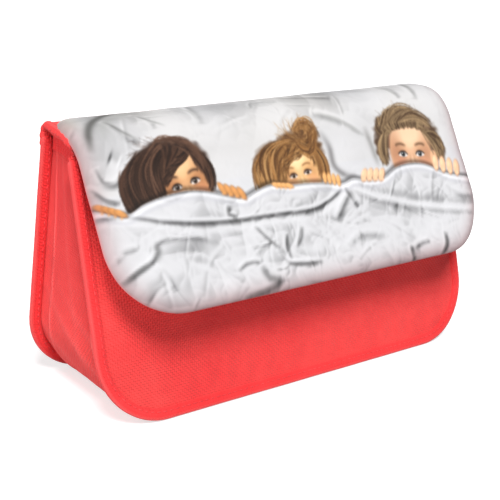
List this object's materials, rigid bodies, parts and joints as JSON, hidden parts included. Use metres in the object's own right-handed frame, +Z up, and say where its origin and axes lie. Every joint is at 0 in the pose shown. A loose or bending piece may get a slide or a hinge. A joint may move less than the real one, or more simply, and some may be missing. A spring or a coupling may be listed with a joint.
{
  "type": "zipped flap pouch",
  "caption": "Upright red fabric pouch, narrow at its top and wide at its base, with bound seams, a recessed zip and a padded printed flap.",
  "frame": {"origin": "middle of the base, on the surface the pouch stands on", "axes": "+X along the width, towards the end where the zip slider parks; +Y to the back, away from the flap's front; +Z up"},
  "size_m": [0.21, 0.0725, 0.1142],
  "materials": {
    "red_cloth": "woven",
    "foam": "matt",
    "lining_cloth": "smooth",
    "binding_tape": "woven",
    "loop_pile": "pile",
    "hook_tape": "hooked",
    "zip_tape": "woven",
    "zip_coil": "smooth",
    "zip_metal": "plated",
    "printed_cloth": "printed"
  },
  "bodies": {
    "pouch": {"front_panel": "red_cloth", "front_interlining": "foam", "front_lining": "lining_cloth", "rear_panel": "red_cloth", "rear_interlining": "foam", "rear_lining": "lining_cloth", "gusset_strip": "red_cloth", "gusset_lining": "lining_cloth", "front_binding": "binding_tape", "rear_binding": "binding_tape", "mouth_tape": "binding_tape", "gusset_hems": "binding_tape", "hinge_strip": "red_cloth", "front_loop_tape": "loop_pile", "zip_tape_front": "zip_tape", "zip_tape_rear": "zip_tape", "zip_coil_front": "zip_coil", "zip_coil_rear": "zip_coil", "zip_stops": "zip_metal", "zip_end_tabs": "binding_tape"},
    "flap_top": {"flap_print_top": "printed_cloth", "flap_foam_top": "foam", "flap_lining_top": "red_cloth"},
    "flap_front": {"flap_print_front": "printed_cloth", "flap_foam_front": "foam", "flap_lining_front": "red_cloth", "flap_hook_tape": "hook_tape"},
    "zip_slider": {"zip_slider": "zip_metal"},
    "zip_pull": {"zip_pull": "zip_metal"}
  },
  "joints": [
    {"name": "flap_hinge", "type": "hinge", "parent": "pouch", "child": "flap_top", "pos_m": [0, 0.0229, 0.1132], "axis": [-1, 0, 0], "range_deg": [0, 245]},
    {"name": "flap_fold", "type": "hinge", "parent": "flap_top", "child": "flap_front", "pos_m": [0, 0.00074, 0.10974], "axis": [-1, 0, 0], "range_deg": [0, 50]},
    {"name": "zip_travel", "type": "slide", "parent": "pouch", "child": "zip_slider", "axis": [-1, 0, 0], "range_m": [0, 0.1649], "deforming": ["zip_tape_front", "zip_tape_rear", "zip_coil_front", "zip_coil_rear"]},
    {"name": "zip_pull_swing", "type": "hinge", "parent": "zip_slider", "child": "zip_pull", "pos_m": [0.0827, 0.00986, 0.088], "axis": [0, 1, 0], "range_deg": [0, 150]}
  ]
}
